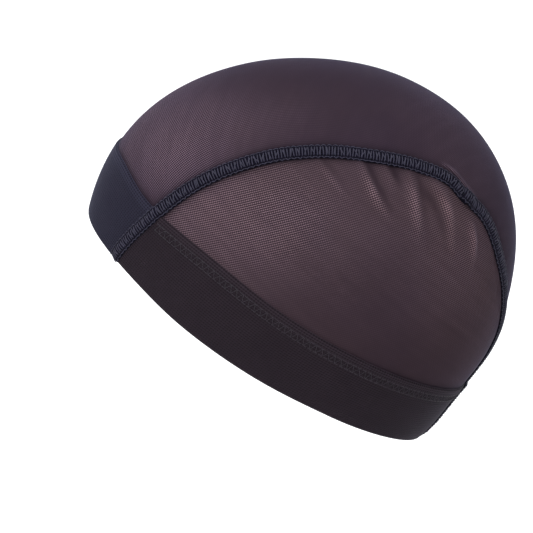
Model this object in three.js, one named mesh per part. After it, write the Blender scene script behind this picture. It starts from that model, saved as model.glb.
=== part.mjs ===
// A dome wig cap of stretch mesh, in the form that it has on a head.
// Three mesh panels stand above a wide elastic band. A raised overlock seam runs over
// each side of the head, from the rim at the temple to the rim at the nape.
// Millimetres. The forehead faces -Y, the wearer's left is +X and up is +Z.
// The origin is the middle of the opening that the head goes into.

import * as THREE from 'three';
import { mergeVertices } from 'three/addons/utils/BufferGeometryUtils.js';

// Inside sizes of the cap, which are those of the head that it fits.
const HEAD_LENGTH = 188;
const HEAD_WIDTH = 150;
const CROWN_RISE = 88; // from the middle of the head form up to the crown
const MIDDLE_RISE = 42; // from the opening's middle up to that of the head form
const FULLNESS = 2.2; // 2 is an ellipse, and more is squarer
const WIDEST_BACK = 25; // the widest place lies this far behind the middle
const FOREHEAD_TAPER = 0.17; // share of the width that is lost at the forehead
const BACK_TAPER = 0.03; // share of the width that is lost at the back

// The rim lies near a plane that slopes down to the nape, and the band stands on it.
const RIM_SLOPE = 30; // degrees
const RIM_WAVE = 10.5; // the most that the rim leaves its plane
const BAND_HEIGHT = 30.5;
const BAND_WALL = 1.8; // two layers
const BAND_EDGE_WALL = 1.3; // at the folded edges
const BAND_EDGE_ROUND = 0.8;

// The mesh and the overlock seams.
const MESH_WALL = 1;
const SEAM_WIDTH = 6;
const SEAM_WALL = 2.6;
const SEAM_EDGE_WALL = 1.9;
const SEAM_EDGE_ROUND = 0.8;
const SEWN_GAP = 0.3; // between neighbouring pieces

// Gathers in the side panels, below the rear half of each seam.
const FOLD_LENGTH = 36;
const FOLD_WIDTH = 4.2; // from the crest to the foot
const FOLD_LIFT = 1.6;
const FOLD_ONSET = 5; // a gather swells to its full lift over this length

// How far the head form reaches from its middle, as a share of an ellipse, at angles
// in degrees from straight ahead, over the crown, to the back and the nape. The last
// row meets the first, a full turn on.
const HEAD_PROFILE = [
  { angle: -100, reach: 1.05 },
  { angle: -70, reach: 1.02 },
  { angle: -25, reach: 0.985 },
  { angle: 0, reach: 0.99 },
  { angle: 15, reach: 1.005 },
  { angle: 45, reach: 1.03 },
  { angle: 75, reach: 1.01 },
  { angle: 95, reach: 1.005 },
  { angle: 120, reach: 1.03 },
  { angle: 140, reach: 1.045 },
  { angle: 160, reach: 1.03 },
  { angle: 185, reach: 0.985 },
  { angle: 205, reach: 0.975 },
  { angle: 222, reach: 0.975 },
  { angle: 236, reach: 1.025 },
  { angle: 250, reach: 1.06 },
  { angle: 260, reach: 1.05 },
];

// Where a seam runs: how far out it lies at each of those angles, as a share of half
// the head's width.
const SEAM_PATH = [
  { angle: -45, out: 0.3 },
  { angle: 0, out: 0.5 },
  { angle: 10, out: 0.58 },
  { angle: 20, out: 0.655 },
  { angle: 30, out: 0.707 },
  { angle: 45, out: 0.744 },
  { angle: 65, out: 0.755 },
  { angle: 85, out: 0.743 },
  { angle: 100, out: 0.729 },
  { angle: 115, out: 0.709 },
  { angle: 130, out: 0.657 },
  { angle: 140, out: 0.612 },
  { angle: 147, out: 0.604 },
  { angle: 155, out: 0.557 },
  { angle: 170, out: 0.5 },
  { angle: 180, out: 0.422 },
  { angle: 190, out: 0.325 },
  { angle: 200, out: 0.215 },
  { angle: 210, out: 0.165 },
  { angle: 222, out: 0.155 },
  { angle: 240, out: 0.17 },
  { angle: 258, out: 0.18 },
];
const CROWN_ANGLE = 95; // the top of the head on that scale

// How the rim and the band run round the head, at angles in degrees from straight
// ahead: the rim's rise off its plane as a share of the rim's wave, and the band's
// height as a share of its named height.
const BAND_RUN = [
  { angle: 0, rise: 1, height: 1.04 },
  { angle: 12, rise: 0.88, height: 1.09 },
  { angle: 25, rise: 0.65, height: 1.03 },
  { angle: 45, rise: 0.2, height: 1.12 },
  { angle: 70, rise: 0, height: 1.05 },
  { angle: 100, rise: 0, height: 0.99 },
  { angle: 140, rise: -0.1, height: 0.99 },
  { angle: 180, rise: -0.45, height: 1.05 },
];

// The gathers: where they leave the seam, as a share of its run above the band, how far
// they turn from there towards the nape, in degrees, and how they bend on their way.
// Then, as shares of the fold sizes above: start, length, width and lift.
const FOLDS = [
  { place: 0.335, turn: 30, bend: 0.14, start: 0, length: 0.5, width: 0.5, lift: 0.5 },
  { place: 0.415, turn: 26, bend: 0.18, start: 0, length: 0.7, width: 0.6, lift: 0.95 },
  { place: 0.458, turn: 31, bend: 0, start: 0, length: 0.25, width: 0.6, lift: 0.55 },
  { place: 0.504, turn: 17, bend: 0.09, start: 0.02, length: 0.78, width: 0.75, lift: 1 },
  { place: 0.53, turn: 72, bend: -0.75, start: 0.1, length: 0.72, width: 0.9, lift: 1.15 },
  { place: 0.618, turn: 71, bend: -0.49, start: 0.25, length: 0.65, width: 0.6, lift: 0.8 },
];

// How many facets the curved walls have each way.
const FACETS = {
  crownAcross: 14,
  crownAlong: 38,
  sideUp: 11,
  sideFront: 10,
  sideGathers: 30,
  sideBack: 8,
  bandUp: 4,
  frontBand: 14,
  sideBand: 24,
  napeBand: 10,
  seam: 60,
};

// A side panel's columns crowd towards the nape at the band, and its rows towards the
// seam: 1 would space them evenly. Fine columns take in the gathers, from a share of
// the seam before the first to a share past the last.
const COLUMN_CROWDING = 0.6;
const ROW_CROWDING = 1.35;
const FINE_BEFORE = 0.02;
const FINE_AFTER = 0.1;
const EDGE_STEP = 0.005; // for the direction of an edge

// Rounds of the searches that place a point on the head form.
const DRAPE_ROUNDS = 8;
const HALVING_ROUNDS = 36;

const MESH_CLOTH = { color: 0x4a3b42, roughness: 0.85, metalness: 0 };
const FRONT_CLOTH = { color: 0x2c2a39, roughness: 0.8, metalness: 0 };
const SIDE_CLOTH = { color: 0x2c242b, roughness: 0.8, metalness: 0 };
const SEAM_THREAD = { color: 0x2f2c39, roughness: 0.7, metalness: 0 };

const MIDDLE = new THREE.Vector3(0, 0, MIDDLE_RISE);
const SLOPE = THREE.MathUtils.degToRad(RIM_SLOPE);
const RIM_UP = new THREE.Vector3(0, Math.sin(SLOPE), Math.cos(SLOPE));
const RIM_AHEAD = new THREE.Vector3(0, -Math.cos(SLOPE), Math.sin(SLOPE));
const RIM_SIDE = new THREE.Vector3(1, 0, 0);

// 0 before the first angle, 1 after the last, and a smooth step between them.
function ramp(from, to, angle) {
  return THREE.MathUtils.smoothstep(angle, from, to);
}

// A smooth curve through one column of a table.
function readTable(table, column, angle) {
  const last = table.length - 1;
  const held = THREE.MathUtils.clamp(angle, table[0].angle, table[last].angle);
  const next = Math.max(1, table.findIndex((row) => row.angle >= held));
  const slopeAt = (index) => {
    const before = table[Math.max(index - 1, 0)];
    const after = table[Math.min(index + 1, last)];
    return (after[column] - before[column]) / (after.angle - before.angle);
  };
  const from = table[next - 1];
  const to = table[next];
  const span = to.angle - from.angle;
  const part = (held - from.angle) / span;
  const rest = 1 - part;
  return (
    from[column] * (1 + 2 * part) * rest * rest +
    to[column] * (1 + 2 * rest) * part * part +
    (slopeAt(next - 1) * rest - slopeAt(next) * part) * span * part * rest
  );
}

// Half the head's width at a place along it.
function halfWidth(y) {
  const ahead = Math.max(0, (WIDEST_BACK - y) / (WIDEST_BACK + HEAD_LENGTH / 2));
  const behind = Math.max(0, (y - WIDEST_BACK) / (HEAD_LENGTH / 2 - WIDEST_BACK));
  const taper = 1 - FOREHEAD_TAPER * ahead ** 2 - BACK_TAPER * behind ** 2;
  return (HEAD_WIDTH / 2) * taper;
}

// The angle of a point in the head's profile, seen from the side.
function profileAngle(ahead, up) {
  const angle = THREE.MathUtils.radToDeg(Math.atan2(up, ahead));
  return angle < HEAD_PROFILE[0].angle ? angle + 360 : angle;
}

// 1 on the head form, less inside it and more outside.
function headForm(point) {
  const ahead = -(point.y - MIDDLE.y) / (HEAD_LENGTH / 2);
  const up = (point.z - MIDDLE.z) / CROWN_RISE;
  const reach = readTable(HEAD_PROFILE, 'reach', profileAngle(ahead, up));
  const across = Math.abs(point.x) / halfWidth(point.y);
  const along = Math.hypot(ahead, up) / reach;
  return (across ** FULLNESS + along ** FULLNESS) ** (1 / FULLNESS);
}

// Moves a point onto the head form, towards its middle or away from it.
function drape(point) {
  const placed = point.clone();
  for (let pass = 0; pass < DRAPE_ROUNDS; pass += 1) {
    const scale = 1 / headForm(placed);
    placed.sub(MIDDLE).multiplyScalar(scale).add(MIDDLE);
  }
  return placed;
}

// The direction that stands off the head form at a point.
function standOff(point) {
  const step = HEAD_LENGTH / 10000;
  const slope = (axis) => {
    const near = point.clone();
    const far = point.clone();
    near[axis] -= step;
    far[axis] += step;
    return headForm(far) - headForm(near);
  };
  return new THREE.Vector3(slope('x'), slope('y'), slope('z')).normalize();
}

// Heights of the rim and of the band's top above the rim's plane, at an angle in
// degrees round the head from straight ahead. Both sides of the head are alike.
function rimHeight(turn) {
  return RIM_WAVE * readTable(BAND_RUN, 'rise', sideAngle(turn));
}

function bandTop(turn) {
  return rimHeight(turn) + BAND_HEIGHT * readTable(BAND_RUN, 'height', sideAngle(turn));
}

function sideAngle(turn) {
  return 180 - Math.abs(180 - Math.abs(turn));
}

// The point of the head form at a turn round it and a height above the rim's plane.
function ringPoint(turn, height) {
  const angle = THREE.MathUtils.degToRad(turn);
  const level = RIM_UP.clone().multiplyScalar(height);
  const outward = RIM_AHEAD.clone().multiplyScalar(Math.cos(angle));
  outward.addScaledVector(RIM_SIDE, Math.sin(angle));
  let inside = 0;
  let outside = HEAD_LENGTH;
  for (let pass = 0; pass < HALVING_ROUNDS; pass += 1) {
    const reach = (inside + outside) / 2;
    if (headForm(level.clone().addScaledVector(outward, reach)) < 1) inside = reach;
    else outside = reach;
  }
  return level.addScaledVector(outward, inside);
}

// The turn of a point round the head, and how far up the band it lies: 0 is the rim
// and 1 is the band's top, moved up by a clearance.
function ringPlace(point, clearance) {
  const ahead = point.dot(RIM_AHEAD);
  const turn = THREE.MathUtils.radToDeg(Math.atan2(point.x, ahead));
  const top = bandTop(turn) + clearance;
  const share = (point.dot(RIM_UP) - rimHeight(turn)) / (top - rimHeight(turn));
  return { turn, share };
}

// The middle line of the left seam, at a profile angle.
function seamMiddle(angle) {
  const out = readTable(SEAM_PATH, 'out', angle);
  const reach = readTable(HEAD_PROFILE, 'reach', angle) * (1 - out ** FULLNESS) ** (1 / FULLNESS);
  const turned = THREE.MathUtils.degToRad(angle);
  const y = MIDDLE.y - (reach * Math.cos(turned) * HEAD_LENGTH) / 2;
  const z = MIDDLE.z + reach * Math.sin(turned) * CROWN_RISE;
  return new THREE.Vector3(out * halfWidth(y), y, z);
}

// A point beside the middle line of the left seam, positive towards the ear.
function seamPoint(angle, beside) {
  const middle = seamMiddle(angle);
  const onward = seamMiddle(angle + 1).sub(seamMiddle(angle - 1));
  const sideways = onward.cross(standOff(middle)).normalize();
  return drape(middle.addScaledVector(sideways, beside));
}

// The profile angle at which a line beside the seam is a share of the way up the band,
// at the forehead or at the nape.
function seamCrossing(beside, share, clearance, atNape) {
  let above = CROWN_ANGLE;
  let below = atNape ? SEAM_PATH[SEAM_PATH.length - 1].angle : SEAM_PATH[0].angle;
  for (let pass = 0; pass < HALVING_ROUNDS; pass += 1) {
    const angle = (above + below) / 2;
    if (ringPlace(seamPoint(angle, beside), clearance).share > share) above = angle;
    else below = angle;
  }
  return (above + below) / 2;
}

// Builds a closed wall from a grid of points on the head form. Each row of the grid is
// a list of places { point, lift, wall }: the wall stands on the point, lifted off it.
function wallGeometry(rows) {
  const positions = [];
  const place = (cell, height) => {
    const off = standOff(cell.point);
    const corner = cell.point.clone().addScaledVector(off, height);
    positions.push(corner.x, corner.y, corner.z);
  };
  rows.flat().forEach((cell) => place(cell, cell.lift));
  rows.flat().forEach((cell) => place(cell, cell.lift + cell.wall));

  const across = rows[0].length;
  const upper = rows.length * across;
  const index = [];
  const quad = (a, b, c, d) => index.push(a, b, c, a, c, d);
  for (let row = 0; row + 1 < rows.length; row += 1) {
    for (let column = 0; column + 1 < across; column += 1) {
      const a = row * across + column;
      const b = a + 1;
      const c = b + across;
      const d = a + across;
      quad(a + upper, b + upper, c + upper, d + upper);
      quad(a, d, c, b);
    }
  }
  const edge = [];
  for (let column = 0; column + 1 < across; column += 1) edge.push(column);
  for (let row = 0; row + 1 < rows.length; row += 1) edge.push((row + 1) * across - 1);
  for (let column = across - 1; column > 0; column -= 1) edge.push(upper - across + column);
  for (let row = rows.length - 1; row > 0; row -= 1) edge.push(row * across);
  edge.forEach((a, step) => {
    const b = edge[(step + 1) % edge.length];
    quad(a, b, b + upper, a + upper);
  });

  const loose = new THREE.BufferGeometry();
  loose.setAttribute('position', new THREE.Float32BufferAttribute(positions, 3));
  loose.setIndex(index);
  const merged = mergeVertices(loose, 0.001);
  return withoutSlivers(merged);
}

// Leaves out the triangles that vanish where a grid runs into a corner.
function withoutSlivers(geometry) {
  const kept = [];
  const index = geometry.index.array;
  for (let start = 0; start < index.length; start += 3) {
    const [a, b, c] = index.slice(start, start + 3);
    if (a !== b && b !== c && c !== a) kept.push(a, b, c);
  }
  geometry.setIndex(kept);
  geometry.computeVertexNormals();
  return geometry;
}

// The same wall on the other side of the head.
function mirrored(geometry) {
  const other = geometry.clone();
  other.scale(-1, 1, 1);
  const index = Array.from(other.index.array);
  for (let start = 0; start < index.length; start += 3) {
    [index[start + 1], index[start + 2]] = [index[start + 2], index[start + 1]];
  }
  other.setIndex(index);
  other.computeVertexNormals();
  return other;
}

// Shares from 0 to 1 in equal steps.
function steps(count) {
  return Array.from({ length: count + 1 }, (unused, index) => index / count);
}

// Shares up a band, with a short step at each folded edge.
function bandSteps(count) {
  const fold = BAND_EDGE_ROUND / BAND_HEIGHT;
  const middle = steps(count).map((share) => fold + share * (1 - 2 * fold));
  return [0, ...middle, 1];
}

function bandWall(share) {
  return share === 0 || share === 1 ? BAND_EDGE_WALL : BAND_WALL;
}

// A stretch of band between two turns, each given as a function of the share up it.
function bandGeometry(turnFrom, turnTo, columns) {
  const rows = bandSteps(FACETS.bandUp).map((share) => {
    const from = turnFrom(share);
    const to = turnTo(share);
    return steps(columns).map((part) => {
      const turn = THREE.MathUtils.lerp(from, to, part);
      const height = THREE.MathUtils.lerp(rimHeight(turn), bandTop(turn), share);
      return { point: ringPoint(turn, height), lift: 0, wall: bandWall(share) };
    });
  });
  return wallGeometry(rows);
}

// The turn at which a band meets a seam, on its crown side or its ear side.
function seamTurn(side, share, atNape) {
  const beside = side * (SEAM_WIDTH / 2 + SEWN_GAP);
  const angle = seamCrossing(beside, share, 0, atNape);
  return ringPlace(seamPoint(angle, beside), 0).turn;
}

const CROWN_SIDE = -1;
const EAR_SIDE = 1;

function frontBand() {
  const edge = (share) => seamTurn(CROWN_SIDE, share, false);
  return bandGeometry((share) => -edge(share), edge, FACETS.frontBand);
}

function sideBand() {
  const front = (share) => seamTurn(EAR_SIDE, share, false);
  const back = (share) => seamTurn(EAR_SIDE, share, true);
  return bandGeometry(front, back, FACETS.sideBand);
}

function napeBand() {
  const edge = (share) => seamTurn(CROWN_SIDE, share, true);
  return bandGeometry(edge, (share) => 360 - edge(share), FACETS.napeBand);
}

function seamStrip() {
  const half = SEAM_WIDTH / 2;
  const shoulder = half - SEAM_EDGE_ROUND;
  const lines = [
    { beside: half, wall: SEAM_EDGE_WALL },
    { beside: shoulder, wall: SEAM_WALL },
    { beside: -shoulder, wall: SEAM_WALL },
    { beside: -half, wall: SEAM_EDGE_WALL },
  ];
  const rows = lines.map(({ beside, wall }) => {
    const from = seamCrossing(beside, 0, 0, false);
    const to = seamCrossing(beside, 0, 0, true);
    return steps(FACETS.seam).map((part) => {
      const angle = THREE.MathUtils.lerp(from, to, part);
      return { point: seamPoint(angle, beside), lift: 0, wall };
    });
  });
  return wallGeometry(rows);
}

// The line that a panel follows along a seam, from the band at the forehead to the
// band at the nape.
function panelEdge(side) {
  const beside = side * (SEAM_WIDTH / 2 + SEWN_GAP);
  const from = seamCrossing(beside, 1, SEWN_GAP, false);
  const to = seamCrossing(beside, 1, SEWN_GAP, true);
  return (share) => seamPoint(THREE.MathUtils.lerp(from, to, share), beside);
}

// The line that a panel follows along the band's top, between two turns.
function bandEdge(from, to) {
  return (share) => {
    const turn = THREE.MathUtils.lerp(from, to, share);
    return ringPoint(turn, bandTop(turn) + SEWN_GAP);
  };
}

function turnOf(point) {
  return ringPlace(point, SEWN_GAP).turn;
}

// The crown panel is stretched between both seams and both ends of the band.
function crownPanel() {
  const leftEdge = panelEdge(CROWN_SIDE);
  const rightEdge = (share) => leftEdge(share).multiply(new THREE.Vector3(-1, 1, 1));
  const frontTurn = turnOf(leftEdge(0));
  const backTurn = turnOf(leftEdge(1));
  const frontEdge = bandEdge(-frontTurn, frontTurn);
  const backEdge = bandEdge(360 - backTurn, backTurn);
  const sum = (terms) => {
    const total = new THREE.Vector3();
    terms.forEach(([point, weight]) => total.addScaledVector(point, weight));
    return total;
  };
  const rows = steps(FACETS.crownAlong).map((along) =>
    steps(FACETS.crownAcross).map((across) => {
      const point = sum([
        [frontEdge(across), 1 - along],
        [backEdge(across), along],
        [rightEdge(along), 1 - across],
        [leftEdge(along), across],
        [rightEdge(0), -(1 - along) * (1 - across)],
        [leftEdge(0), -(1 - along) * across],
        [rightEdge(1), -along * (1 - across)],
        [leftEdge(1), -along * across],
      ]);
      return { point: drape(point), lift: 0, wall: MESH_WALL };
    }),
  );
  return wallGeometry(rows);
}

// The gathers of a side panel, each with its head on the seam's edge and its directions
// along and across.
function foldLines(seamEdge) {
  return FOLDS.map((fold) => {
    const head = seamEdge(fold.place);
    const onward = seamEdge(fold.place + EDGE_STEP).sub(seamEdge(fold.place - EDGE_STEP)).normalize();
    const away = onward.clone().cross(standOff(head)).normalize();
    const turn = THREE.MathUtils.degToRad(fold.turn);
    const along = away.clone().multiplyScalar(Math.cos(turn)).addScaledVector(onward, Math.sin(turn));
    const across = onward.clone().multiplyScalar(Math.cos(turn)).addScaledVector(away, -Math.sin(turn));
    return { ...fold, head, along, across };
  });
}

// How far the gathers lift a point of a side panel.
function foldLift(folds, point) {
  return folds.reduce((lift, fold) => {
    const from = point.clone().sub(fold.head);
    const run = from.dot(fold.along);
    const beside = from.dot(fold.across) - (fold.bend * run * run) / FOLD_LENGTH;
    const start = fold.start * FOLD_LENGTH;
    const end = fold.length * FOLD_LENGTH;
    const swell = ramp(start - FOLD_ONSET, start + FOLD_ONSET, run);
    const fade = 1 - ramp((start + end) / 2, end + FOLD_ONSET, run);
    const crest = Math.exp(-((beside / (fold.width * FOLD_WIDTH)) ** 2));
    return lift + fold.lift * FOLD_LIFT * swell * fade * crest;
  }, 0);
}

// Shares along a side panel, closer together where the gathers are.
function sideSteps() {
  const from = FOLDS[0].place - FINE_BEFORE;
  const to = FOLDS[FOLDS.length - 1].place + FINE_AFTER;
  const front = steps(FACETS.sideFront).map((share) => share * from);
  const middle = steps(FACETS.sideGathers).map((share) => THREE.MathUtils.lerp(from, to, share));
  const back = steps(FACETS.sideBack).map((share) => THREE.MathUtils.lerp(to, 1, share));
  return [...front.slice(0, -1), ...middle, ...back.slice(1)];
}

// A side panel fills the space between a seam and the top of the band.
function sidePanel() {
  const seamEdge = panelEdge(EAR_SIDE);
  const lowerEdge = bandEdge(turnOf(seamEdge(0)), turnOf(seamEdge(1)));
  const folds = foldLines(seamEdge);
  const rows = steps(FACETS.sideUp).map((up) =>
    sideSteps().map((share) => {
      const top = seamEdge(share);
      const rise = 1 - (1 - up) ** ROW_CROWDING;
      const point = drape(lowerEdge(share ** COLUMN_CROWDING).lerp(top, rise));
      return { point, lift: foldLift(folds, point), wall: MESH_WALL };
    }),
  );
  return wallGeometry(rows);
}

const cap = new THREE.Group();

function addPiece(name, geometry, cloth) {
  const piece = new THREE.Mesh(geometry, new THREE.MeshStandardMaterial(cloth));
  piece.name = name;
  cap.add(piece);
}

function addPair(name, geometry, cloth) {
  addPiece(`${name}_left`, geometry, cloth);
  addPiece(`${name}_right`, mirrored(geometry), cloth);
}

addPiece('crown_panel', crownPanel(), MESH_CLOTH);
addPair('side_panel', sidePanel(), MESH_CLOTH);
addPiece('front_band', frontBand(), FRONT_CLOTH);
addPair('side_band', sideBand(), SIDE_CLOTH);
addPiece('nape_band', napeBand(), SIDE_CLOTH);
addPair('seam', seamStrip(), SEAM_THREAD);

export default cap;
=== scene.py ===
"""The looks of a dome wig cap of stretch mesh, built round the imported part.

Metres. The forehead faces -Y, the wearer's left is +X and up is +Z. The origin is the
middle of the opening that the head goes into.
"""

import math

import bmesh
import bpy
import numpy as np
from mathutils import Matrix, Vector


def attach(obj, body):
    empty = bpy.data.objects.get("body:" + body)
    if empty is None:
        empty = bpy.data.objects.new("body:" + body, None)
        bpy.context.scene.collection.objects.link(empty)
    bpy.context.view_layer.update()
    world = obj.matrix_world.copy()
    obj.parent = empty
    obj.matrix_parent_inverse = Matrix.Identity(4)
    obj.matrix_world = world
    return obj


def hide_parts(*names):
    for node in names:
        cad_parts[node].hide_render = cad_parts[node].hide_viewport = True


bl_info = {
    "name": "Mesh dome wig cap",
    "version": (1, 0, 0),
    "blender": (4, 5, 0),
    "location": "3D View > Sidebar > Wig cap",
    "description": "Builds a stretch mesh cap with elastic bands and overlock seams",
    "category": "Object",
}

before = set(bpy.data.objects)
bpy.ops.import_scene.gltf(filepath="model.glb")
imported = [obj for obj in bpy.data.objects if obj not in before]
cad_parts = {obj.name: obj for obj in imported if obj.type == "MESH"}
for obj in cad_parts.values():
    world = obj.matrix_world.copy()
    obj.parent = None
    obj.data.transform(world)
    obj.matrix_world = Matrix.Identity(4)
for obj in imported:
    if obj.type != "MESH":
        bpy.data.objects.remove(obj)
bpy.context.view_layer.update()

# The head form that the cap is stretched over, as in the part.
HEAD_LENGTH = 0.188
HEAD_WIDTH = 0.150
CROWN_RISE = 0.088
MIDDLE_RISE = 0.042
FULLNESS = 2.2
WIDEST_BACK = 0.025
FOREHEAD_TAPER = 0.17
BACK_TAPER = 0.03
HEAD_PROFILE = {
    "angle": [-100, -70, -25, 0, 15, 45, 75, 95, 120, 140, 160, 185, 205, 222, 236, 250, 260],
    "reach": [
        1.05, 1.02, 0.985, 0.99, 1.005, 1.03, 1.01, 1.005, 1.03, 1.045, 1.03, 0.985, 0.975,
        0.975, 1.025, 1.06, 1.05,
    ],
}

# The rim and the band.
RIM_SLOPE = math.radians(30)
RIM_WAVE = 0.0105
BAND_HEIGHT = 0.0305
BAND_WALL = 0.0018
BAND_ROUND = 0.0013
TOP_STRIP = 0.0045
BAND_RUN = {
    "angle": [0, 12, 25, 45, 70, 100, 140, 180],
    "rise": [1, 0.88, 0.65, 0.2, 0, 0, -0.1, -0.45],
    "height": [1.04, 1.09, 1.03, 1.12, 1.05, 0.99, 0.99, 1.05],
}

# The seams and the mesh that they join.
SEAM_WIDTH = 0.006
SEWN_GAP = 0.0003
MESH_WALL = 0.0009
CROWN_ANGLE = 95
SEAM_PATH = {
    "angle": [
        -45, 0, 10, 20, 30, 45, 65, 85, 100, 115, 130, 140, 147, 155, 170, 180, 190, 200,
        210, 222, 240, 258,
    ],
    "out": [
        0.3, 0.5, 0.58, 0.655, 0.707, 0.744, 0.755, 0.743, 0.729, 0.709, 0.657, 0.612, 0.604,
        0.557, 0.5, 0.422, 0.325, 0.215, 0.165, 0.155, 0.17, 0.18,
    ],
}

# The gathers in the side panels: where they leave the seam as a share of its run above
# the band, their turn towards the nape, in degrees, and their bend. Then, as shares of
# the fold sizes: start, length, width and lift. The hollow is how deep the cloth sinks
# behind a gather, or ahead of it where negative, and how much painted shade it gets there.
FOLD_LENGTH = 0.036
FOLD_WIDTH = 0.0042
FOLD_LIFT = 0.0016
FOLD_ONSET = 0.005
FOLD_COLUMNS = ("place", "turn", "bend", "start", "length", "width", "lift", "hollow")
FOLDS = [
    (0.335, 30, 0.14, 0, 0.5, 0.38, 0.5, 0.4),
    (0.415, 26, 0.18, 0, 0.7, 0.5, 0.95, 1.0),
    (0.458, 31, 0, 0, 0.25, 0.5, 0.55, 1.1),
    (0.504, 17, 0.09, 0.02, 0.78, 0.62, 1, 0.45),
    (0.53, 72, -0.75, 0.1, 0.72, 0.78, 1.15, -0.8),
    (0.618, 71, -0.49, 0.25, 0.65, 0.5, 0.8, 0.3),
]
HOLLOW_OFFSET = 1.55
HOLLOW_WIDTH = 0.75
HOLLOW_DEPTH = 0.0003

# How the gathers open the mesh on their crests and close it beside them, and how far above
# the band they fade out. The same values paint light and shade: a painted highlight on the
# crests, kept off within full of the seam as a painted shadow of the tape, and painted shade
# in the hollows.
FOLD_SHEER_AND_LIGHT = {"crest": 0.5, "full": 0.015, "hollow": 0.3}
FOLD_FADE = 0.004

# A pucker in the crown panel beside the rear bend of the seam, and the small tucks all
# along the seams.
PUCKER = {
    "start": 0.505, "rise": 0.02, "end": 0.60, "fall": 0.03, "beside": 0.0021,
    "drift": -0.0012, "width": 0.0011, "lift": 0.0006,
}
TUCKS = {"height": 0.00022, "pitch": 0.0062, "begin": 0.0005, "full": 0.003, "fade": 0.006}

# How cloth laps at a seam: the mesh runs under the tape and under the band's top edge.
LAP = 0.0030
LAP_CLEAR = 0.00006
TAPE_WALL = 0.0012
TAPE_EDGE_WALL = 0.0005
TAPE_JOIN = 145.5
TAPE_JOIN_REACH = 2.5
TAPE_LAP = 0.004
TAPE_END = {"share": 0.025, "thins": 0.004, "left": 0.3}
TAPE_CROWN = 2.5
BAND_EDGE_SHARE = 0.25
BAND_STEP = 0.03
TUCK_BEGIN = 0.0012
TUCK_FULL = 0.0002
LEAST_WALL = 0.0003

# How finely the cloth is laid out.
GRID = {
    "crown_across": 96,
    "crown_along": 200,
    "side_up": 96,
    "side_along": 260,
    "band_up": 30,
    "front_band": 110,
    "side_band": 190,
    "nape_band": 70,
    "tape_across": 12,
    "tape_along": 420,
}
EDGE_CROWDING = 0.126
COLUMN_CROWDING = 0.6
ROW_CROWDING = 1.35
DRAPE_ROUNDS = 8
HALVING_ROUNDS = 36

# Where the flat pattern of a side panel touches the head form, and the fall of its
# courses towards the forehead.
SIDE_CENTRE = np.array([0.072, 0.015, 0.042])
COURSE_SLOPE = math.radians(15)
STREAK_TURN = math.radians(-56)
EDGE_STEP = 0.005

# Where the mesh is stretched open, seen from the side: place, size and amount. The same amounts
# are painted light and shade: paler where they stand for a lit head seen through the openings,
# darker where they stand for shade.
SIDE_SHEER_AND_LIGHT = {
    "all over": {"at": (0.0, 0.05), "size": (1.0, 1.0), "amount": 0.31},
    "below the front seam": {"at": (-0.027, 0.083), "size": (0.047, 0.022), "amount": 0.4},
    "temple": {"at": (-0.022, 0.066), "size": (0.025, 0.012), "amount": 0.09},
    "above the ear": {"at": (0.015, 0.0), "size": (0.06, 0.042), "amount": -0.27},
    "behind": {"at": (0.063, 0.066), "size": (0.02, 0.026), "amount": 0.22},
    "nape corner": {"at": (0.072, 0.03), "size": (0.016, 0.02), "amount": 0.06},
}
CROWN_SHEER_AND_LIGHT = {
    "all over": {"at": (0.0, 0.05), "size": (1.0, 1.0), "amount": 0.17},
    "forehead": {"at": (-0.057, 0.099), "size": (0.025, 0.017), "amount": 0.52},
    "top front": {"at": (-0.032, 0.116), "size": (0.03, 0.012), "amount": 0.27},
    "top of the forehead": {"at": (-0.045, 0.131), "size": (0.024, 0.011), "amount": -0.2},
    "top": {"at": (0.02, 0.131), "size": (0.05, 0.009), "amount": -0.06},
    "back": {"at": (0.07, 0.1), "size": (0.02, 0.03), "amount": 0.1},
}
# PAINTED_SHADE_SIZE is how far the painted shade by seams and bands reaches onto the mesh.
PAINTED_SHADE_SIZE = 0.0013
OPEN_SHARE = 0.37
# The names of the marks: stretch with painted light and shade, and painted shade by seams and bands.
SHEER_AND_LIGHT = "sheer_and_light"
PAINTED_SHADE_MARK = "painted_seam_shade"

# How the mesh, the bands and the threads look.
RIB_SHARE = 0.4
OPENING_EDGE = 0.35
# painted_shade_share is how strongly the painted shade by seams and bands darkens the mesh.
MESH_LOOK = {
    "closeness": 0.05, "patch_size": 0.03, "patch_share": 0.2, "drift_size": 0.05,
    "streak_width": 0.0035, "streak_length": 0.03, "film_power": 1.6, "clear_from": 0.28,
    "clear_to": 0.58, "least_clear": 0.45, "painted_shade_share": 0.8, "relief": 0.0005,
}
BAND_LOOK = {
    "rib_pitch": 0.0013, "course_pitch": 0.0010, "patch_size": 0.02, "strip_share": 0.5,
    "strip_light": 1.5, "gap_tone": 0.45, "relief": 0.00015,
}
THREAD_LOOK = {"patch_size": 0.0015, "dark": 0.55, "light": 1.45}

# The rows of an overlock seam. Beside is a share of the way to the tape's edge; pitch and
# thread are shares of the stitches' own; the other lengths are in metres, turn in degrees.
OVERLOCK_COLUMNS = (
    "beside", "depth", "steps", "pitch", "reach", "rise", "thread", "turn", "alternate",
    "lean", "seed",
)
OVERLOCK_ROWS = [
    (0, 0.0006, 600, 1, 0.0044, 0.0008, 0.5, 90, 0.0, 0.14, 1),
    (0, 0.0007, 600, 2.4, 0.0046, 0.0008, 0.5, 90, 0.38, 0.25, 2),
    (-1, 0.0003, 900, 1, 0.0016, 0.0004, 0.42, 0, 0.45, 0.2, 3),
    (1, 0.0003, 900, 1, 0.0016, 0.0004, 0.42, 0, 0.45, 0.2, 3),
]
CHAIN_INSET = 0.0004
SEWN_FROM = 0.045
TOPSTITCH_RISE = 0.00012
TOPSTITCH_SHARE = 0.9
TOPSTITCH_CLEAR = 2.6

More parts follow.
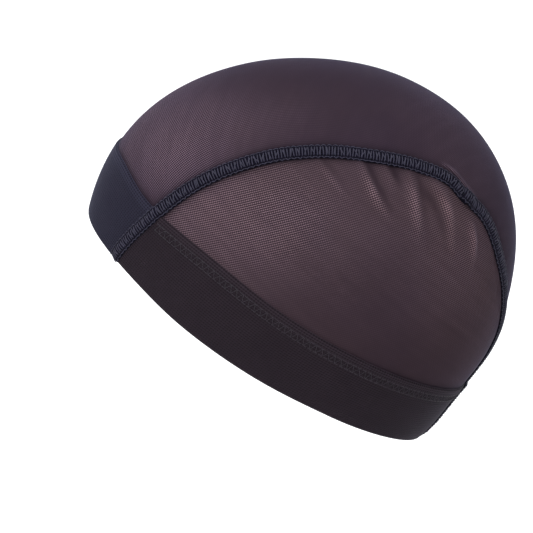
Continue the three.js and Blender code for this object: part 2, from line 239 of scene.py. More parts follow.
# The camera and the lights.
PHOTO_SIDE = 533
PIXEL_AT_TARGET = 0.000441
TARGET = Vector((0, 0, 0.040))
TARGET_RIGHT = 33.5
TARGET_UP = 1.5
SENSOR = 0.036
LIGHT_AIM = (0, 0, 0.05)
LIGHTS = {
    "key": {"place": (1.7, -1.5, 1.5), "size": 1.6, "tint": (1, 1, 1)},
    "top": {"place": (-0.1, 0.1, 2.0), "size": 2.0, "tint": (0.93, 0.95, 1)},
}

MIDDLE = np.array([0.0, 0.0, MIDDLE_RISE])
RIM_UP = np.array([0.0, math.sin(RIM_SLOPE), math.cos(RIM_SLOPE)])
RIM_AHEAD = np.array([0.0, -math.cos(RIM_SLOPE), math.sin(RIM_SLOPE)])
RIM_SIDE = np.array([1.0, 0.0, 0.0])
CROWN_SIDE = -1
EAR_SIDE = 1
OFF = "off"
CLOTH_MAP = "cloth"


# The head form and the lines on it

def ramp(start, end, value):
    """0 before start, 1 after end, and a smooth step between them."""
    share = np.clip((value - start) / (end - start), 0, 1)
    return share * share * (3 - 2 * share)


def read_table(table, column, angle):
    """A smooth curve through one column of a table, read at one angle or many."""
    at = np.array(table["angle"], float)
    value = np.array(table[column], float)
    before = np.maximum(np.arange(len(at)) - 1, 0)
    after = np.minimum(np.arange(len(at)) + 1, len(at) - 1)
    slope = (value[after] - value[before]) / (at[after] - at[before])
    held = np.clip(angle, at[0], at[-1])
    upper = np.clip(np.searchsorted(at, held), 1, len(at) - 1)
    lower = upper - 1
    span = at[upper] - at[lower]
    part = (held - at[lower]) / span
    rest = 1 - part
    ends = value[lower] * (1 + 2 * part) * rest**2 + value[upper] * (1 + 2 * rest) * part**2
    return ends + (slope[lower] * rest - slope[upper] * part) * span * part * rest


def half_width(y):
    """Half the head's width at a place along it."""
    ahead = np.maximum(0, (WIDEST_BACK - y) / (WIDEST_BACK + HEAD_LENGTH / 2))
    behind = np.maximum(0, (y - WIDEST_BACK) / (HEAD_LENGTH / 2 - WIDEST_BACK))
    return HEAD_WIDTH / 2 * (1 - FOREHEAD_TAPER * ahead**2 - BACK_TAPER * behind**2)


def profile_angle(ahead, up):
    """The angle of a point in the head's profile, in degrees from straight ahead."""
    angle = np.degrees(np.arctan2(up, ahead))
    return np.where(angle < HEAD_PROFILE["angle"][0], angle + 360, angle)


def head_form(points):
    """1 on the head form, less inside it and more outside."""
    ahead = -points[..., 1] / (HEAD_LENGTH / 2)
    up = (points[..., 2] - MIDDLE_RISE) / CROWN_RISE
    reach = read_table(HEAD_PROFILE, "reach", profile_angle(ahead, up))
    across = np.abs(points[..., 0]) / half_width(points[..., 1])
    along = np.hypot(ahead, up) / reach
    return (across**FULLNESS + along**FULLNESS) ** (1 / FULLNESS)


def drape(points):
    """Moves points onto the head form, towards its middle or away from it."""
    placed = points
    for _ in range(DRAPE_ROUNDS):
        placed = MIDDLE + (placed - MIDDLE) / head_form(placed)[..., None]
    return placed


def stand_off(points):
    """The direction that stands off the head form at each point."""
    step = HEAD_LENGTH / 10000
    slopes = []
    for axis in range(3):
        shift = np.zeros(3)
        shift[axis] = step
        slopes.append(head_form(points + shift) - head_form(points - shift))
    off = np.stack(slopes, axis=-1)
    return off / np.linalg.norm(off, axis=-1, keepdims=True)


def side_angle(turn):
    """Both sides of the head are alike."""
    return 180 - np.abs(180 - np.abs(turn))


def rim_height(turn):
    return RIM_WAVE * read_table(BAND_RUN, "rise", side_angle(turn))


def band_top(turn):
    return rim_height(turn) + BAND_HEIGHT * read_table(BAND_RUN, "height", side_angle(turn))


def ring_points(turn, height):
    """Points of the head form at turns round it and heights above the rim's plane."""
    turn, height = np.broadcast_arrays(np.asarray(turn, float), np.asarray(height, float))
    angle = np.radians(turn)[..., None]
    level = RIM_UP * height[..., None]
    outward = RIM_AHEAD * np.cos(angle) + RIM_SIDE * np.sin(angle)
    inside = np.zeros(turn.shape)
    outside = np.full(turn.shape, HEAD_LENGTH)
    for _ in range(HALVING_ROUNDS):
        reach = (inside + outside) / 2
        within = head_form(level + outward * reach[..., None]) < 1
        inside = np.where(within, reach, inside)
        outside = np.where(within, outside, reach)
    return level + outward * inside[..., None]


def ring_place(points, clearance=0.0):
    """The turn of points round the head, and how far up the band they lie, from 0 at the
    rim to 1 at the band's top, moved up by a clearance."""
    turn = np.degrees(np.arctan2(points[..., 0], points @ RIM_AHEAD))
    rim = rim_height(turn)
    return turn, (points @ RIM_UP - rim) / (band_top(turn) + clearance - rim)


def seam_middle(angle):
    """The middle line of the left seam, at profile angles."""
    angle = np.asarray(angle, float)
    out = read_table(SEAM_PATH, "out", angle)
    reach = read_table(HEAD_PROFILE, "reach", angle) * (1 - out**FULLNESS) ** (1 / FULLNESS)
    turned = np.radians(angle)
    y = -reach * np.cos(turned) * HEAD_LENGTH / 2
    z = MIDDLE_RISE + reach * np.sin(turned) * CROWN_RISE
    return np.stack([out * half_width(y), y, z], axis=-1)


def seam_points(angle, beside):
    """Points beside the middle line of the left seam, positive towards the ear."""
    angle = np.asarray(angle, float)
    middle = seam_middle(angle)
    onward = seam_middle(angle + 1) - seam_middle(angle - 1)
    sideways = np.cross(onward, stand_off(middle))
    sideways /= np.linalg.norm(sideways, axis=-1, keepdims=True)
    return drape(middle + sideways * np.asarray(beside, float)[..., None])


def seam_crossing(beside, share, at_nape, clearance=0.0):
    """The profile angle at which a line beside the seam is a share of the way up the
    band, at the forehead or at the nape."""
    above = CROWN_ANGLE
    below = SEAM_PATH["angle"][-1] if at_nape else SEAM_PATH["angle"][0]
    for _ in range(HALVING_ROUNDS):
        angle = (above + below) / 2
        if ring_place(seam_points(angle, beside), clearance)[1] > share:
            above = angle
        else:
            below = angle
    return (above + below) / 2


def lerp(start, end, share):
    return start + (end - start) * share


def lengths_along(points):
    """The length from the first point of each row to every point of it."""
    step = np.linalg.norm(np.diff(points, axis=-2), axis=-1)
    start = np.zeros(step.shape[:-1] + (1,))
    return np.concatenate([start, np.cumsum(step, axis=-1)], axis=-1)


def ripple(place, pitch, seed):
    """An uneven wave of about that pitch, between -1 and 1."""
    phase = np.random.default_rng(seed).uniform(0, 2 * math.pi, 3)
    turns = 2 * math.pi * place / pitch
    waves = np.sin(turns + phase[0]) + np.sin(turns * 0.63 + phase[1])
    return (waves + np.sin(turns * 1.41 + phase[2])) / 3


# Meshes

def cloth_mesh(name, points, lift, wall, flat, marks=None):
    """A closed wall of cloth on a grid of points of the head form. The wall starts at the
    lift and is as thick as wall; flat is the cloth's own map, in metres."""
    rows, columns = points.shape[:2]
    lift = np.broadcast_to(lift, (rows, columns))[..., None]
    wall = np.broadcast_to(wall, (rows, columns))[..., None]
    off = stand_off(points)
    inner = points + off * lift
    outer = inner + off * wall
    vertices = np.concatenate([inner.reshape(-1, 3), outer.reshape(-1, 3)])

    upper = rows * columns
    number = np.arange(upper).reshape(rows, columns)
    a, b = number[:-1, :-1].ravel(), number[:-1, 1:].ravel()
    c, d = number[1:, 1:].ravel(), number[1:, :-1].ravel()
    outer_faces = np.stack([a, b, c, d], axis=-1) + upper
    inner_faces = np.stack([a, d, c, b], axis=-1)
    edge = np.concatenate([number[0, :-1], number[:-1, -1], number[-1, :0:-1], number[:0:-1, 0]])
    onward = np.roll(edge, -1)
    edge_faces = np.stack([edge, onward, onward + upper, edge + upper], axis=-1)
    faces = np.concatenate([outer_faces, inner_faces, edge_faces])

    mesh = bpy.data.meshes.new(name)
    mesh.from_pydata(vertices, [], faces.tolist())
    corners = np.zeros(len(mesh.loops), np.int32)
    mesh.loops.foreach_get("vertex_index", corners)
    both = np.concatenate([flat.reshape(-1, 2)] * 2)
    layer = mesh.uv_layers.new(name=CLOTH_MAP)
    layer.data.foreach_set("uv", both[corners].astype(np.float32).ravel())
    for mark, values in (marks or {}).items():
        layer = mesh.attributes.new(mark, "FLOAT", "POINT")
        held = np.broadcast_to(values, (rows, columns)).ravel()
        layer.data.foreach_set("value", np.concatenate([held, held]).astype(np.float32))
    return finished(mesh)


def finished(mesh):
    """Shaded smooth, with its faces pointing out."""
    work = bmesh.new()
    work.from_mesh(mesh)
    bmesh.ops.remove_doubles(work, verts=work.verts, dist=1e-7)
    bmesh.ops.recalc_face_normals(work, faces=work.faces)
    work.to_mesh(mesh)
    work.free()
    mesh.shade_smooth()
    mesh.set_sharp_from_angle(angle=math.radians(60))
    return mesh


def mirrored(mesh, name):
    """The same mesh on the other side of the head."""
    other = mesh.copy()
    other.name = name
    place = np.zeros(len(other.vertices) * 3, np.float32)
    other.vertices.foreach_get("co", place)
    place[::3] *= -1
    other.vertices.foreach_set("co", place)
    other.flip_normals()
    other.update()
    return other


def add_object(name, mesh, material):
    piece = bpy.data.objects.new(name, mesh)
    bpy.context.scene.collection.objects.link(piece)
    piece.data.materials.clear()
    piece.data.materials.append(material)
    return piece


def dress(piece, node):
    """The piece rides on the part and stands for its node."""
    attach(piece, "root")
    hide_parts(node)


# The cloth pieces

def edge_line(beside, lap):
    """A line beside the seam, from the band's top at the forehead to its top at the nape,
    or from a lap below them."""
    start, end = (seam_crossing(beside, 1, at_nape, -lap) for at_nape in (False, True))
    return lambda share: seam_points(lerp(start, end, share), np.full(np.shape(share), beside))


def panel_edge(side):
    """The line of a panel's edge under the tape."""
    return edge_line(side * SEWN_GAP / 2, LAP)


def open_edge(side):
    """The line where a panel comes out from under the tape, above the band."""
    return edge_line(side * (SEAM_WIDTH / 2 + SEWN_GAP), 0.0)


def sheer_and_light_at(points, places):
    """How far the mesh is stretched open, and the light and shade painted on it, from a few named
    places on the head.
    """
    sheer_and_light = np.zeros(points.shape[:-1])
    for place in places.values():
        away = (points[..., 1:] - np.array(place["at"])) / np.array(place["size"])
        sheer_and_light += place["amount"] * np.exp(-(away**2).sum(axis=-1))
    return sheer_and_light


def painted_seam_shade(*distances):
    """Painted shade: 1 where the cloth runs into a seam or a band, fading over PAINTED_SHADE_SIZE."""
    nearest = np.minimum.reduce(np.broadcast_arrays(*distances))
    return np.exp(-np.maximum(nearest, 0) / PAINTED_SHADE_SIZE)


def band_line(start, end):
    """The line of a panel's edge under the band's top, between two turns."""

    def line(share):
        turn = lerp(start, end, share)
        return ring_points(turn, band_top(turn) - LAP)

    return line


def small_tucks(length, beside, seed):
    """Tucks where the cloth is drawn into a seam, fading away from it."""
    wave = TUCKS["height"] * ripple(length, TUCKS["pitch"], seed)
    return wave * ramp(TUCKS["begin"], TUCKS["full"], beside) * np.exp(-beside / TUCKS["fade"])


def crown_mesh():
    """The crown panel, stretched between both seams and both ends of the band."""
    left = panel_edge(CROWN_SIDE)
    flip = np.array([-1.0, 1.0, 1.0])
    front_turn = float(ring_place(left(np.array([0.0])))[0][0])
    back_turn = float(ring_place(left(np.array([1.0])))[0][0])
    across = np.linspace(0, 1, GRID["crown_across"] + 1)
    along = np.linspace(0, 1, GRID["crown_along"] + 1)
    left_edge = left(along)[:, None]
    right_edge = left_edge * flip
    front = band_line(-front_turn, front_turn)(across)[None]
    back = band_line(360 - back_turn, back_turn)(across)[None]
    s, t = across[None, :, None], along[:, None, None]
    points = front * (1 - t) + back * t + right_edge * (1 - s) + left_edge * s
    points = points - (right_edge[:1] * (1 - s) + left_edge[:1] * s) * (1 - t)
    points = points - (right_edge[-1:] * (1 - s) + left_edge[-1:] * s) * t
    points = drape(points)

    middle = len(across) // 2
    run = lengths_along(points[:, middle])
    width = lengths_along(points)
    sideways = width - width[:, middle : middle + 1]
    flat = np.stack([np.broadcast_to(run[:, None], sideways.shape), sideways], axis=-1)
    beside = np.minimum(width, width[:, -1:] - width)
    beside = np.maximum(beside - SEAM_WIDTH / 2, 0)
    seam_run = lengths_along(points[:, -1])[:, None]
    part = seam_run / seam_run[-1]
    start, end = PUCKER["start"], PUCKER["end"]
    drawn = ramp(start, start + PUCKER["rise"], part) * (1 - ramp(end - PUCKER["fall"], end, part))
    line = PUCKER["beside"] + PUCKER["drift"] * (part - start) / (end - start)
    ridge = drawn * np.exp(-(((beside - line) / PUCKER["width"]) ** 2))
    lift = small_tucks(seam_run, beside, 3) + PUCKER["lift"] * ridge
    ends = np.minimum(run, run[-1] - run)[:, None] - LAP
    # Painted light and shade from the named places, and a painted highlight on the pucker's ridge along
    # with its stretch; painted shade by the seams and the band's ends.
    sheer_and_light = sheer_and_light_at(points, CROWN_SHEER_AND_LIGHT) + FOLD_SHEER_AND_LIGHT["crest"] * ridge
    marks = {SHEER_AND_LIGHT: sheer_and_light, PAINTED_SHADE_MARK: painted_seam_shade(beside, ends)}
    return cloth_mesh("crown_panel", points, lift, MESH_WALL, flat, marks)


def fold_lines(edge):
    """The gathers, each with its head on the seam's edge and its directions along and
    across."""
    lines = []
    for row in FOLDS:
        fold = dict(zip(FOLD_COLUMNS, row))
        before, head, after = edge(fold["place"] + EDGE_STEP * np.array([-1, 0, 1]))
        onward = (after - before) / np.linalg.norm(after - before)
        away = np.cross(onward, stand_off(head))
        away /= np.linalg.norm(away)
        turn = math.radians(fold["turn"])
        fold["head"] = head
        fold["along"] = away * math.cos(turn) + onward * math.sin(turn)
        fold["across"] = onward * math.cos(turn) - away * math.sin(turn)
        lines.append(fold)
    return lines


def fold_relief(edge, points):
    """How far the gathers lift a side panel, and how far it sinks beside them."""
    crests = np.zeros(points.shape[:-1])
    hollows = np.zeros(points.shape[:-1])
    for fold in fold_lines(edge):
        away = points - fold["head"]
        run = away @ fold["along"]
        beside = away @ fold["across"] - fold["bend"] * run**2 / FOLD_LENGTH
        start = fold["start"] * FOLD_LENGTH
        end = fold["length"] * FOLD_LENGTH
        swell = ramp(start - FOLD_ONSET, start + FOLD_ONSET, run)
        fade = 1 - ramp((start + end) / 2, end + FOLD_ONSET, run)
        width = fold["width"] * FOLD_WIDTH
        reach = swell * fade
        crests += fold["lift"] * reach * np.exp(-((beside / width) ** 2))
        behind = math.copysign(HOLLOW_OFFSET, fold["hollow"]) * width
        hollow = np.exp(-(((beside - behind) / (HOLLOW_WIDTH * width)) ** 2))
        hollows += abs(fold["hollow"]) * reach * hollow * ramp(-FOLD_ONSET / 2, 0, run)
    return crests, hollows


def flattened(points):
    """The flat pattern of a side panel: each point at its distance and direction from
    the panel's middle, turned so that the courses run level."""
    centre = drape(SIDE_CENTRE)
    normal = stand_off(centre)
    upward = np.array([0.0, 0.0, 1.0]) - normal * normal[2]
    upward /= np.linalg.norm(upward)
    backward = np.cross(upward, normal)
    away = points - centre
    bend = np.arccos(np.clip(stand_off(points) @ normal, -1, 1)) / 2
    curl = np.where(bend > 1e-4, bend / np.maximum(np.sin(bend), 1e-9), 1)
    length = np.linalg.norm(away, axis=-1) * curl
    level = np.stack([away @ backward, away @ upward], axis=-1)
    level /= np.maximum(np.linalg.norm(level, axis=-1, keepdims=True), 1e-9)
    level *= length[..., None]
    cos, sin = math.cos(COURSE_SLOPE), math.sin(COURSE_SLOPE)
    back, rise = level[..., 0], level[..., 1]
    return np.stack([back * cos + rise * sin, rise * cos - back * sin], axis=-1)


def side_mesh():
    """The left side panel, between its seam and the top of the band."""
    seam = panel_edge(EAR_SIDE)
    ends = ring_place(seam(np.array([0.0, 1.0])))[0]
    share = np.linspace(0, 1, GRID["side_along"] + 1)
    up = np.linspace(0, 1, GRID["side_up"] + 1)
    top = seam(share)
    low = band_line(ends[0], ends[1])(share**COLUMN_CROWDING)
    rise = (1 - (1 - up) ** ROW_CROWDING)[:, None, None]
    points = drape(low[None] * (1 - rise) + top[None] * rise)

    length = lengths_along(top)
    below = np.linalg.norm(points - top[None], axis=-1) - SEAM_WIDTH / 2
    above = np.linalg.norm(points - low[None], axis=-1) - LAP
    crests, hollows = fold_relief(open_edge(EAR_SIDE), points)
    free = ramp(-SEAM_WIDTH / 4, FOLD_ONSET / 4, below) * ramp(0, FOLD_FADE, above)
    folds = (crests * FOLD_LIFT - hollows * HOLLOW_DEPTH) * free
    lift = folds + small_tucks(length[None], np.maximum(below, 0), 5)
    # The gathers open the mesh on their crests and close it in their hollows; the same marks paint a
    # highlight on the crests, kept off near the seam as a painted shadow of the tape, and paint shade in
    # the hollows. Painted shade also lies by the seam and the band.
    opened_and_lit = FOLD_SHEER_AND_LIGHT["crest"] * crests * ramp(0.0, FOLD_SHEER_AND_LIGHT["full"], below)
    sheer_and_light = sheer_and_light_at(points, SIDE_SHEER_AND_LIGHT) + opened_and_lit - FOLD_SHEER_AND_LIGHT["hollow"] * hollows
    marks = {SHEER_AND_LIGHT: sheer_and_light, PAINTED_SHADE_MARK: painted_seam_shade(below, above)}
    return cloth_mesh("side_panel_left", points, lift, MESH_WALL, flattened(points), marks)


def band_face(height):
    """How far a band's face stands off the head form at heights above the rim."""
    to_edge = np.clip(np.minimum(height, BAND_HEIGHT - height), 0, None)
    inset = 1 - np.clip(to_edge / BAND_ROUND, 0, 1)
    return BAND_WALL * lerp(BAND_EDGE_SHARE, 1, np.sqrt(1 - inset**2))


def band_profile(share):
    """Lift and wall of a band at shares of its height: folded edges, and room for the
    mesh under the top edge."""
    height = share * BAND_HEIGHT
    outer = band_face(height)
    lapped = BAND_HEIGHT - LAP
    tuck = (MESH_WALL + LAP_CLEAR) * ramp(lapped - TUCK_BEGIN, lapped - TUCK_FULL, height)
    outer = np.maximum(outer, tuck + LEAST_WALL)
    return tuck, outer - tuck


def band_rows():
    """Shares up a band, closest together at its folded edges."""
    even = np.linspace(0, 1, GRID["band_up"] + 1)
    return even - EDGE_CROWDING * np.sin(2 * math.pi * even)


def band_mesh(name, start, end, columns):
    """A stretch of band between two turns, each given as a function of the share up it."""
    share = band_rows()
    low = np.array([start(s) for s in share])
    high = np.array([end(s) for s in share])
    part = np.linspace(0, 1, columns + 1)
    turn = lerp(low[:, None], high[:, None], part[None])
    rim, top = rim_height(turn), band_top(turn)
    points = ring_points(turn, rim + (top - rim) * share[:, None])
    lift, wall = band_profile(share)
    run = lengths_along(points[len(share) // 2])
    rise = share * BAND_HEIGHT
    flat = np.stack(np.broadcast_arrays(run[None], rise[:, None]), axis=-1)
    return cloth_mesh(name, points, lift[:, None], wall[:, None], flat)


def seam_turn(side, share, at_nape):
    """The turn at which a band ends under a seam's tape."""
    beside = side * SEWN_GAP / 2
    angle = seam_crossing(beside, share, at_nape)
    return float(ring_place(seam_points(angle, beside))[0])


def front_band_mesh():
    return band_mesh(
        "front_band",
        lambda share: -seam_turn(CROWN_SIDE, share, False),
        lambda share: seam_turn(CROWN_SIDE, share, False),
        GRID["front_band"],
    )


def side_band_mesh():
    return band_mesh(
        "side_band_left",
        lambda share: seam_turn(EAR_SIDE, share, False),
        lambda share: seam_turn(EAR_SIDE, share, True),
        GRID["side_band"],
    )


def nape_band_mesh():
    return band_mesh(
        "nape_band",
        lambda share: seam_turn(CROWN_SIDE, share, True),
        lambda share: 360 - seam_turn(CROWN_SIDE, share, True),
        GRID["nape_band"],
    )


def tape_floor(angle, beside):
    """What the tape lies on: the mesh, and the band where it crosses it."""
    share = ring_place(seam_points(angle, beside))[1]
    over = 1 - ramp(1 - BAND_STEP, 1 + BAND_STEP, share)
    face = band_face(np.minimum(share, 0.5) * BAND_HEIGHT)
    return LAP_CLEAR + lerp(MESH_WALL, face, over)


def tape_top(angle, beside):
    """The height of the tape's face above the head form. It is pressed flat at the rim."""
    share = np.clip(np.abs(beside) / (SEAM_WIDTH / 2), 0, 1)
    middle = np.zeros_like(beside)
    above_rim = ring_place(seam_points(angle, middle))[1] * BAND_HEIGHT
    full = lerp(TAPE_END["left"], 1, ramp(0, TAPE_END["thins"], above_rim))
    wall = lerp(TAPE_EDGE_WALL, TAPE_WALL, 1 - share**TAPE_CROWN)
    return tape_floor(angle, middle) + wall * full


def lap_rise(run):
    """How high the second length of tape stands over the first, by the length past its
    end."""
    rise = (TAPE_WALL + LAP_CLEAR) * (1 - ramp(TAPE_LAP, TAPE_LAP * 2, run))
    return np.where(run < 0, 0, rise)


def tape_length(start_angle, end_angle, on_top):
    """One length of the raised tape. It runs to the rim where no angle is given."""
    across = np.cos(np.linspace(0, math.pi, GRID["tape_across"] + 1)) * SEAM_WIDTH / 2
    part = np.linspace(0, 1, GRID["tape_along"] // 2 + 1)
    share = TAPE_END["share"]
    start = [seam_crossing(b, share, False) if start_angle is None else start_angle for b in across]
    end = [seam_crossing(b, share, True) if end_angle is None else end_angle for b in across]
    angle = lerp(np.array(start)[:, None], np.array(end)[:, None], part[None])
    beside = np.broadcast_to(across[:, None], angle.shape)
    points = seam_points(angle, beside)
    floor = tape_floor(angle, beside)
    top = tape_top(angle, beside)
    run = lengths_along(points[len(across) // 2])
    step_up = on_top * lap_rise(run)[None]
    flat = np.stack(np.broadcast_arrays(run[None], across[:, None]), axis=-1)
    return cloth_mesh("seam_left", points, floor + step_up, top - floor, flat)


def tape_mesh():
    """The tape of the left seam, in two lengths that lap over each other at its bend."""
    front = tape_length(None, TAPE_JOIN + TAPE_JOIN_REACH, False)
    back = tape_length(TAPE_JOIN, None, True)
    return joined("seam_left", [front, back])


# Materials

def node(tree, kind, **settings):
    made = tree.nodes.new(kind)
    for name, value in settings.items():
        setattr(made, name, value)
    return made


def feed(tree, socket, value):
    """Links a socket to another one, or sets its value."""
    if isinstance(value, bpy.types.NodeSocket):
        tree.links.new(value, socket)
    else:
        socket.default_value = value


def math_node(tree, operation, *values):
    """A math node on values or sockets."""
    made = node(tree, "ShaderNodeMath", operation=operation)
    for socket, value in zip(made.inputs, values):
        feed(tree, socket, value)
    return made.outputs[0]


def smooth_share(tree, value, start, end, low=0.0, high=1.0):
    """Low before the start, high after the end, and a smooth step between them."""
    made = node(tree, "ShaderNodeMapRange", interpolation_type="SMOOTHSTEP")
    labels = ("Value", "From Min", "From Max", "To Min", "To Max")
    for label, part in zip(labels, (value, start, end, low, high)):
        feed(tree, made.inputs[label], part)
    return made.outputs[0]


def mixed_colour(tree, share, first, second, blend="MIX"):
    """A mix of two colours, each a socket or three shares."""
    made = node(tree, "ShaderNodeMix", data_type="RGBA", blend_type=blend)
    feed(tree, made.inputs[0], share)
    for socket, tone in ((made.inputs[6], first), (made.inputs[7], second)):
        feed(tree, socket, tone if isinstance(tone, bpy.types.NodeSocket) else (*tone, 1))
    return made.outputs[2]


def scaled(tone, share):
    return tuple(part * share for part in tone)


def new_group(name, inputs, outputs):
    """A shader node group with named float, vector and colour sockets."""
    tree = bpy.data.node_groups.new(name, "ShaderNodeTree")
    for direction, sockets in (("INPUT", inputs), ("OUTPUT", outputs)):
        for label, kind in sockets:
            tree.interface.new_socket(label, in_out=direction, socket_type=f"NodeSocket{kind}")
    return tree, node(tree, "NodeGroupInput").outputs, node(tree, "NodeGroupOutput").inputs


def net_group():
    """The lattice of a net, with courses along u and ribs along v. Opening is 1 in the
    middle of each hole, and Height is for bump."""
    tree, given, made = new_group(
        "net",
        [("Map", "Vector"), ("Rib Pitch", "Float"), ("Course Pitch", "Float"), ("Closeness", "Float")],
        [("Opening", "Float"), ("Height", "Float")],
    )
    parts = node(tree, "ShaderNodeSeparateXYZ")
    tree.links.new(given["Map"], parts.inputs[0])
    waves = []
    for axis, pitch in ((0, "Rib Pitch"), (1, "Course Pitch")):
        turns = math_node(tree, "DIVIDE", parts.outputs[axis], given[pitch])
        waves.append(math_node(tree, "COSINE", math_node(tree, "MULTIPLY", turns, 2 * math.pi)))
    ribs = math_node(tree, "MULTIPLY", waves[0], RIB_SHARE)
    lattice = math_node(tree, "MULTIPLY_ADD", waves[1], 1 - RIB_SHARE, ribs)
    full = math_node(tree, "ADD", given["Closeness"], OPENING_EDGE)
    opening = smooth_share(tree, lattice, given["Closeness"], full)
    tree.links.new(opening, made["Opening"])
    tree.links.new(math_node(tree, "SUBTRACT", 1.0, opening), made["Height"])
    return tree


def patches_group():
    """Slow unevenness of a cloth, as from stretch, about 0.5 on average."""
    tree, given, made = new_group(
        "patches", [("Place", "Vector"), ("Size", "Float")], [("Value", "Float")]
    )
    noise = node(tree, "ShaderNodeTexNoise", noise_dimensions="3D")
    noise.inputs["Detail"].default_value = 3
    tree.links.new(given["Place"], noise.inputs["Vector"])
    tree.links.new(math_node(tree, "DIVIDE", 1.0, given["Size"]), noise.inputs["Scale"])
    tree.links.new(noise.outputs["Fac"], made["Value"])
    return tree


def streaks_group():
    """Long soft streaks at a turn from u of a cloth's map, about 0.5 on average."""
    tree, given, made = new_group(
        "streaks",
        [("Map", "Vector"), ("Width", "Float"), ("Length", "Float"), ("Turn", "Float")],
        [("Value", "Float")],
    )
    turned = node(tree, "ShaderNodeVectorRotate", rotation_type="Z_AXIS")
    tree.links.new(given["Map"], turned.inputs["Vector"])
    tree.links.new(math_node(tree, "MULTIPLY", given["Turn"], -1.0), turned.inputs["Angle"])
    shares = node(tree, "ShaderNodeCombineXYZ")
    tree.links.new(math_node(tree, "DIVIDE", 1.0, given["Length"]), shares.inputs["X"])
    tree.links.new(math_node(tree, "DIVIDE", 1.0, given["Width"]), shares.inputs["Y"])
    drawn = node(tree, "ShaderNodeVectorMath", operation="MULTIPLY")
    tree.links.new(turned.outputs[0], drawn.inputs[0])
    tree.links.new(shares.outputs[0], drawn.inputs[1])
    noise = node(tree, "ShaderNodeTexNoise", noise_dimensions="2D")
    noise.inputs["Scale"].default_value = 1
    noise.inputs["Detail"].default_value = 2
    tree.links.new(drawn.outputs[0], noise.inputs["Vector"])
    tree.links.new(noise.outputs["Fac"], made["Value"])
    return tree


def new_material(name):
    """A material with only its shader, and the two places that patterns read."""
    material = bpy.data.materials.new(name)
    material.use_nodes = True
    tree = material.node_tree
    tree.nodes.clear()
    output = node(tree, "ShaderNodeOutputMaterial")
    shader = node(tree, "ShaderNodeBsdfPrincipled")
    tree.links.new(shader.outputs[0], output.inputs["Surface"])
    place = node(tree, "ShaderNodeTexCoord").outputs["Object"]
    cloth = node(tree, "ShaderNodeUVMap", uv_map=CLOTH_MAP).outputs[0]
    return material, tree, shader, place, cloth


def placed_group(tree, name, make, **inputs):
    """A group in a material, made when it is first used."""
    made = node(tree, "ShaderNodeGroup", node_tree=bpy.data.node_groups.get(name) or make())
    for label, value in inputs.items():
        feed(tree, made.inputs[label.replace("_", " ").title()], value)
    return made.outputs


def bump(tree, shader, height, distance):
    made = node(tree, "ShaderNodeBump")
    made.inputs["Strength"].default_value = 1.0
    made.inputs["Distance"].default_value = distance
    tree.links.new(height, made.inputs["Height"])
    tree.links.new(made.outputs[0], shader.inputs["Normal"])


def set_values(shader, values):
    for label, value in values.items():
        shader.inputs[label].default_value = value


